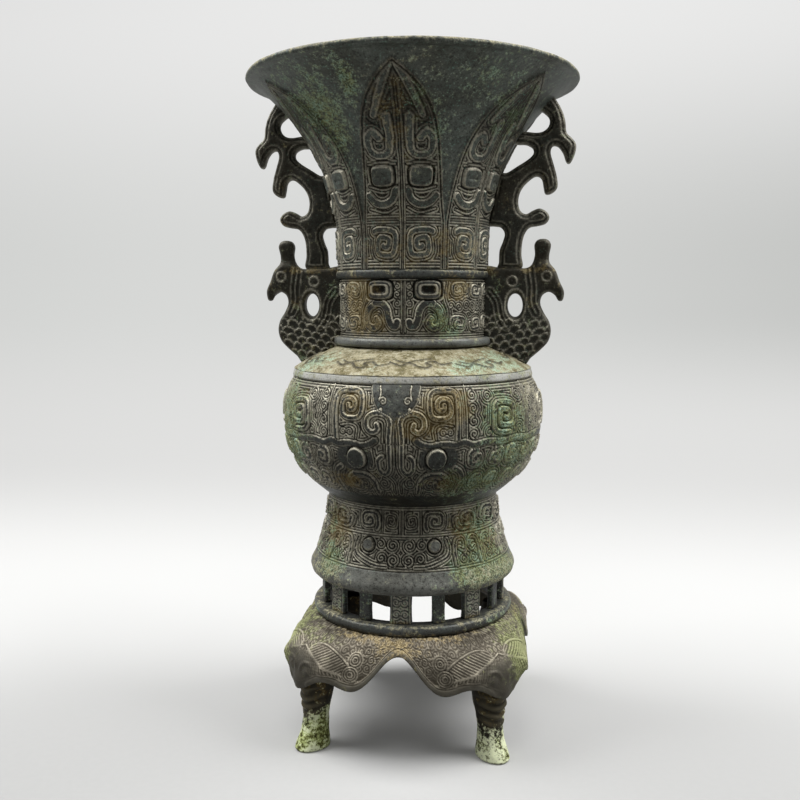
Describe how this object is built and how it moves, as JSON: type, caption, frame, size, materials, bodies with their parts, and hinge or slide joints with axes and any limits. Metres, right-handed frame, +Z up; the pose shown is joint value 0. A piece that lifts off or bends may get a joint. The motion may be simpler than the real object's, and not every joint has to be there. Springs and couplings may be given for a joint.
{
  "type": "bronze vase",
  "caption": "Archaistic cast bronze vase with a trumpet mouth, round belly, flared foot, openwork gallery, four-legged stand and a pair of bird-and-branch side handles.",
  "frame": {"origin": "on the floor under the middle of the vase, on its turning axis", "axes": "+Z up along the turning axis, -Y towards the front of the vase, +X towards its right-hand handle as seen from the front"},
  "size_m": [0.18, 0.18, 0.36],
  "materials": {
    "dark_bronze": "aged dark bronze with green and ochre in the relief",
    "band_bronze": "smooth dark bronze, rubbed",
    "shoulder_crust": "pale dry crust on bronze",
    "stand_bronze": "brown bronze with fine relief",
    "leg_patina": "pale green patina on bronze",
    "handle_bronze": "near-black bronze"
  },
  "bodies": {
    "root": {"trumpet_mouth": "dark_bronze", "neck_ring": "band_bronze", "neck_drum": "dark_bronze", "collar_ring": "band_bronze", "shoulder": "shoulder_crust", "belly_band": "band_bronze", "belly_bowl": "dark_bronze", "foot_drum": "dark_bronze", "gallery_post_01": "band_bronze", "gallery_post_02": "band_bronze", "gallery_post_03": "band_bronze", "gallery_post_04": "band_bronze", "gallery_post_05": "band_bronze", "gallery_post_06": "band_bronze", "gallery_post_07": "band_bronze", "gallery_post_08": "band_bronze", "gallery_post_09": "band_bronze", "gallery_post_10": "band_bronze", "gallery_post_11": "band_bronze", "gallery_post_12": "band_bronze", "gallery_post_13": "band_bronze", "gallery_post_14": "band_bronze", "gallery_post_15": "band_bronze", "gallery_post_16": "band_bronze", "stand_ring": "band_bronze", "stand_skirt": "stand_bronze", "leg_front_left": "leg_patina", "leg_front_right": "leg_patina", "leg_back_left": "leg_patina", "leg_back_right": "leg_patina", "handle_bird_left": "handle_bronze", "handle_bird_right": "handle_bronze", "handle_branch_left": "handle_bronze", "handle_branch_right": "handle_bronze"}
  },
  "joints": []
}
